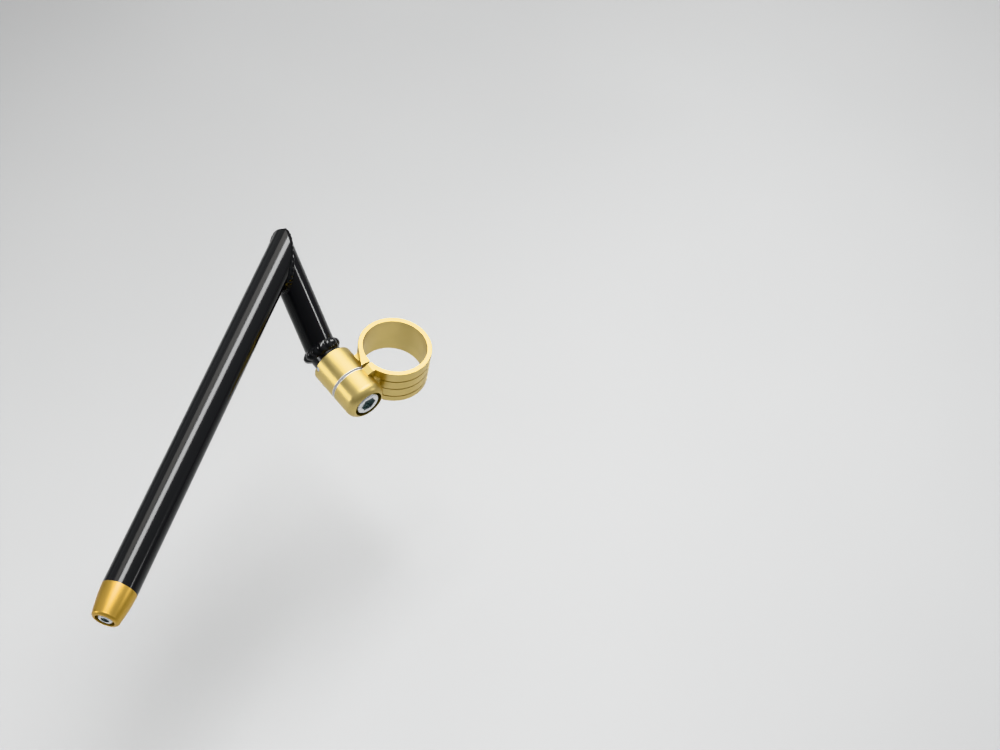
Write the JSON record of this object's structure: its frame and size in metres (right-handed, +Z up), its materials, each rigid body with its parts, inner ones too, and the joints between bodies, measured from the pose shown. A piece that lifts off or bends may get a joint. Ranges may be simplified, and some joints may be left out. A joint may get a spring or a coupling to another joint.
{
  "type": "clip on handlebar",
  "caption": "One left-hand clip-on handlebar: a split fork ring with a bolted boss, and a welded bar of stem and grip tube with a bar-end weight.",
  "frame": {"origin": "on the fork axis, at the middle of the height of the ring's bore", "axes": "+Z up along the fork leg, +Y to the front of the motorcycle, -X outwards to the left"},
  "size_m": [0.3047, 0.1875, 0.0807],
  "materials": {
    "gold_aluminium": "satin gold anodised aluminium",
    "black_paint": "gloss black paint on steel",
    "zinc_steel": "bright zinc-plated steel",
    "black_rubber": "matt black rubber"
  },
  "bodies": {
    "root": {"clamp": "gold_aluminium", "clamp_bolt": "zinc_steel", "clamp_washer": "zinc_steel", "locating_pin": "zinc_steel", "spigot": "black_paint", "stem_tube": "black_paint", "grip_tube": "black_paint", "base_weld": "black_paint", "corner_weld": "black_paint", "bar_end_weight": "gold_aluminium", "bar_end_bolt": "zinc_steel", "thrust_washer": "zinc_steel", "expander_rubber": "black_rubber", "cone_nut": "zinc_steel"}
  },
  "joints": []
}
